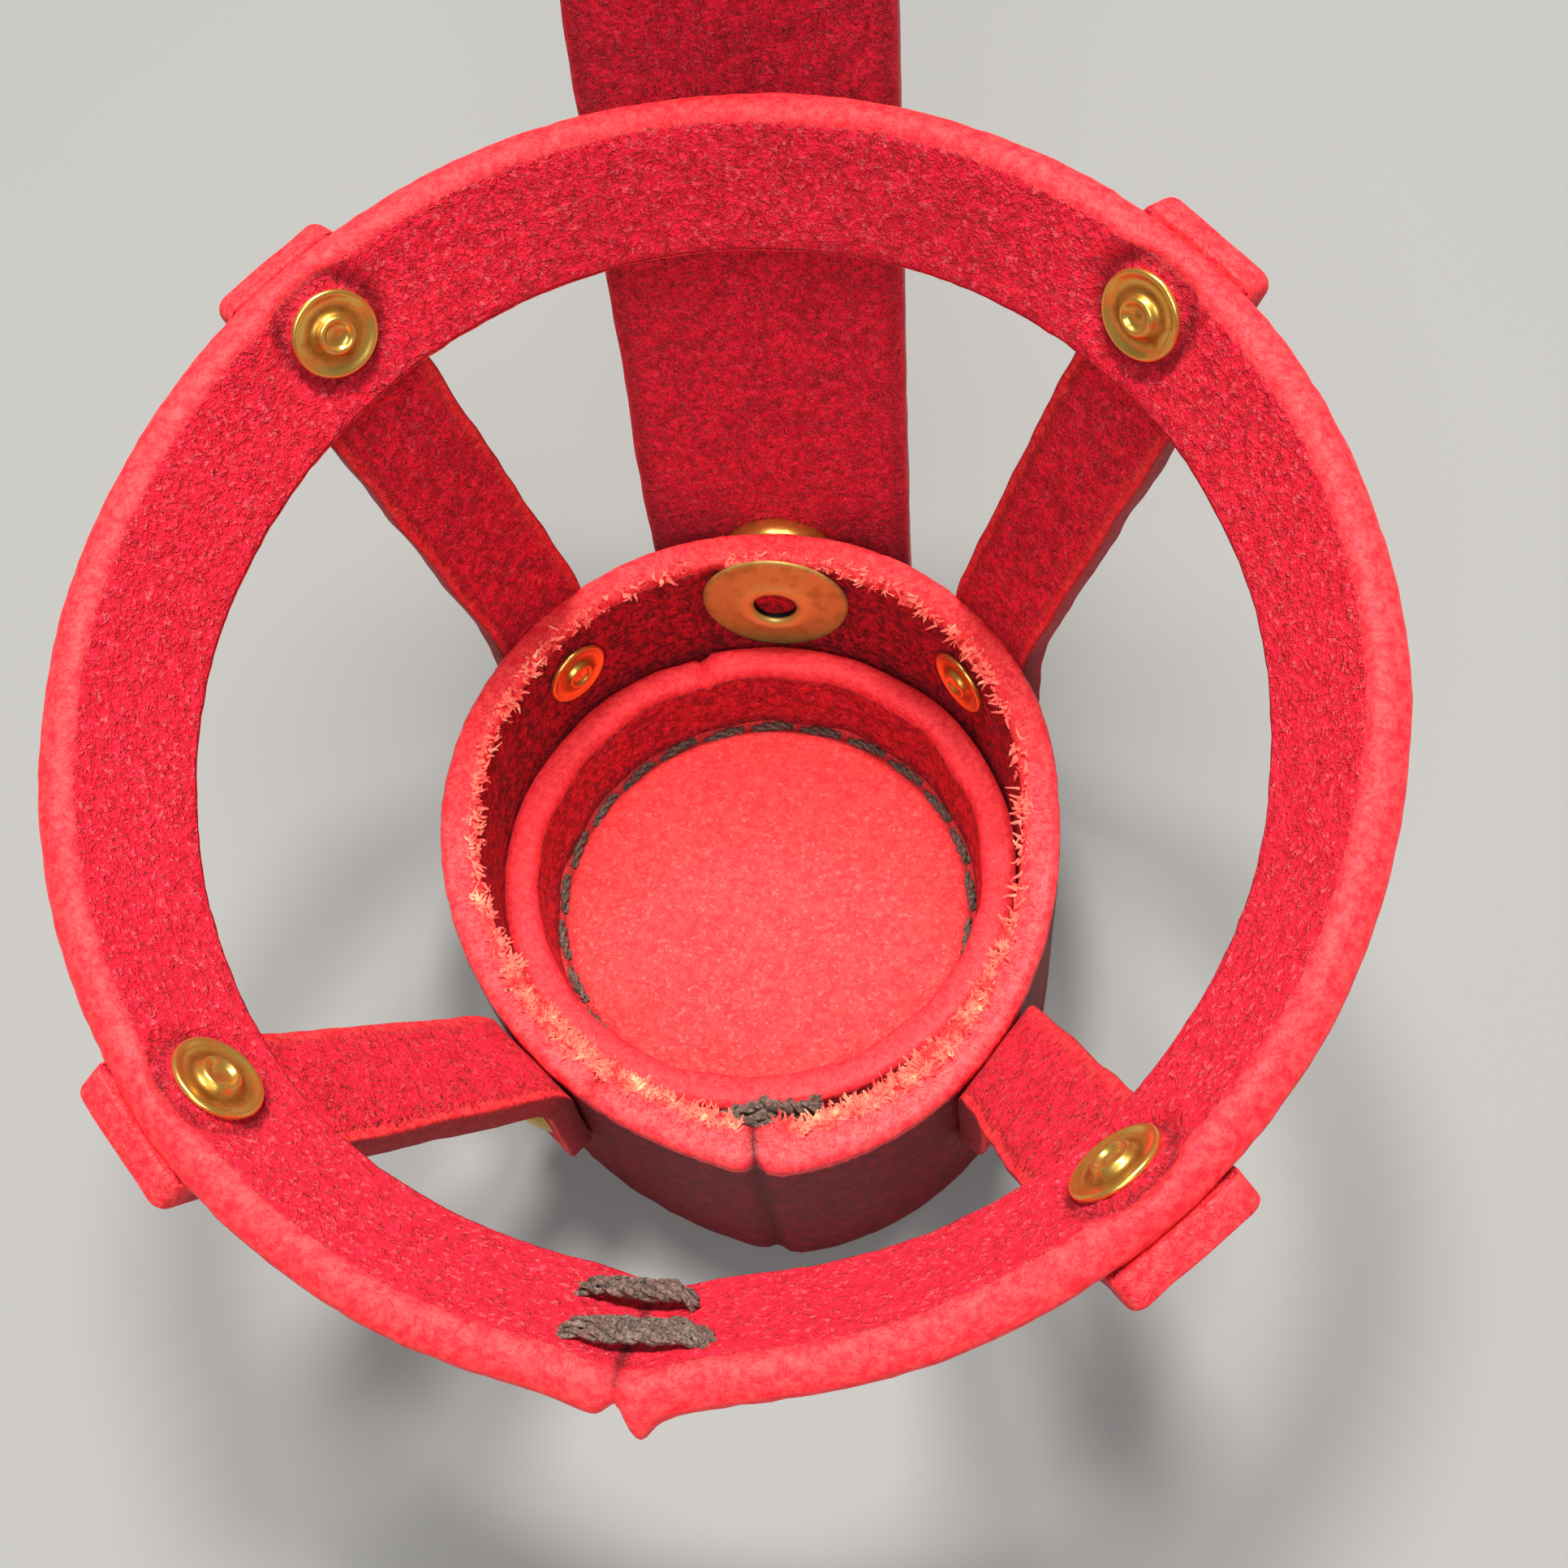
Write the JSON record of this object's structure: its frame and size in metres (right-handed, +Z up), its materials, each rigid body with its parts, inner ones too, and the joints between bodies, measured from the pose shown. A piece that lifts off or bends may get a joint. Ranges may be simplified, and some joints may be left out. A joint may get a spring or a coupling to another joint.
{
  "type": "leather ring-and-cup carrier",
  "caption": "Red leather carrier: a flared hoop on narrow riveted straps above a small round cup, with a wide hanger strap that snaps to the cup's back and folds into a belt loop.",
  "frame": {"origin": "middle of the cup's underside, on the surface that it stands on", "axes": "+Z up along the cup's axis, +Y towards the hanger strap, +X to the right seen from the front"},
  "size_m": [0.0892, 0.1112, 0.162],
  "materials": {
    "cup_leather": "crimson dyed leather, napped inside, burnished edges",
    "liner_leather": "crimson dyed leather, napped inside, smooth pale edge",
    "base_leather": "soft speckled suede face",
    "hoop_leather": "crimson dyed leather, coarse nap inside, burnished pink rim",
    "strap_leather": "crimson dyed leather, fibrous flesh side",
    "hanger_leather": "crimson dyed leather, wrinkled flesh side",
    "waxed_thread": "dark waxed linen thread",
    "brass": "polished brass",
    "red_brass": "smooth reddish brass"
  },
  "bodies": {
    "carrier": {"cup_wall": "cup_leather", "cup_liner": "liner_leather", "cup_base": "base_leather", "base_stitching": "waxed_thread", "cup_seam_stitching": "waxed_thread", "hoop": "hoop_leather", "hoop_seam_stitching": "waxed_thread", "snap_eyelet": "red_brass", "snap_stud": "brass", "strap_front_left": "strap_leather", "hoop_rivet_post_front_left": "brass", "hoop_rivet_cap_front_left": "brass", "cup_rivet_post_front_left": "brass", "cup_rivet_cap_front_left": "brass", "strap_front_right": "strap_leather", "hoop_rivet_post_front_right": "brass", "hoop_rivet_cap_front_right": "brass", "cup_rivet_post_front_right": "brass", "cup_rivet_cap_front_right": "brass", "strap_back_left": "strap_leather", "hoop_rivet_post_back_left": "brass", "hoop_rivet_cap_back_left": "brass", "cup_rivet_post_back_left": "brass", "cup_rivet_cap_back_left": "brass", "strap_back_right": "strap_leather", "hoop_rivet_post_back_right": "brass", "hoop_rivet_cap_back_right": "brass", "cup_rivet_post_back_right": "brass", "cup_rivet_cap_back_right": "brass"},
    "snap_ring": {"snap_spring": "brass"},
    "hanger": {"hanger_strap": "hanger_leather", "snap_socket": "brass", "snap_cap": "brass", "loop_rivet_post_left": "brass", "loop_rivet_cap_left": "brass", "loop_rivet_post_right": "brass", "loop_rivet_cap_right": "brass"}
  },
  "joints": [
    {"name": "snap_pull", "type": "slide", "parent": "carrier", "child": "snap_ring", "axis": [0, 1, 0], "range_m": [0, 0.012]},
    {"name": "strap_swivel", "type": "hinge", "parent": "snap_ring", "child": "hanger", "pos_m": [0, 0.0293, 0.018], "axis": [0, 1, 0], "range_deg": [-60, 60]}
  ]
}
